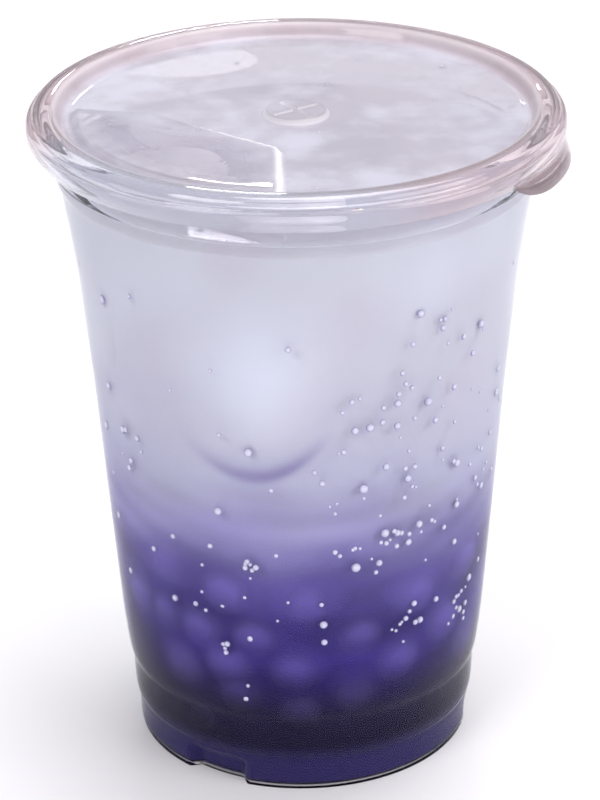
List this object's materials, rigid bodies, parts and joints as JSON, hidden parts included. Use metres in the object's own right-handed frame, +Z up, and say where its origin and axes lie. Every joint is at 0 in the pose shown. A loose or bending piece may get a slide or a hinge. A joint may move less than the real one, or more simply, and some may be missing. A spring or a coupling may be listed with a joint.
{
  "type": "italian soda",
  "caption": "Iced italian soda in a clear plastic cup with a press-on lid; the drink fades from near-black violet over pearls to milky blue under floating ice.",
  "frame": {"origin": "centre of the cup's footprint, on the surface it stands on", "axes": "+Z up along the cup; -Y is the front of the cup; the lid's pull tab is at the right of the front, towards +X"},
  "size_m": [0.1029, 0.102, 0.131],
  "materials": {
    "cup_plastic": "clear, glossy thermoformed plastic",
    "lid_plastic": "clear, glossy plastic, faintly smoky",
    "soda": "milky liquid, pale blue-grey above and violet-black below",
    "ice": "wet, cloudy ice",
    "pearls": "dark, wet, slightly translucent pearls",
    "bubbles": "small gas bubbles"
  },
  "bodies": {
    "root": {"cup": "cup_plastic", "lid": "lid_plastic", "drink": "soda", "ice_1": "ice", "ice_2": "ice", "ice_3": "ice", "ice_4": "ice", "ice_5": "ice"}
  },
  "joints": []
}
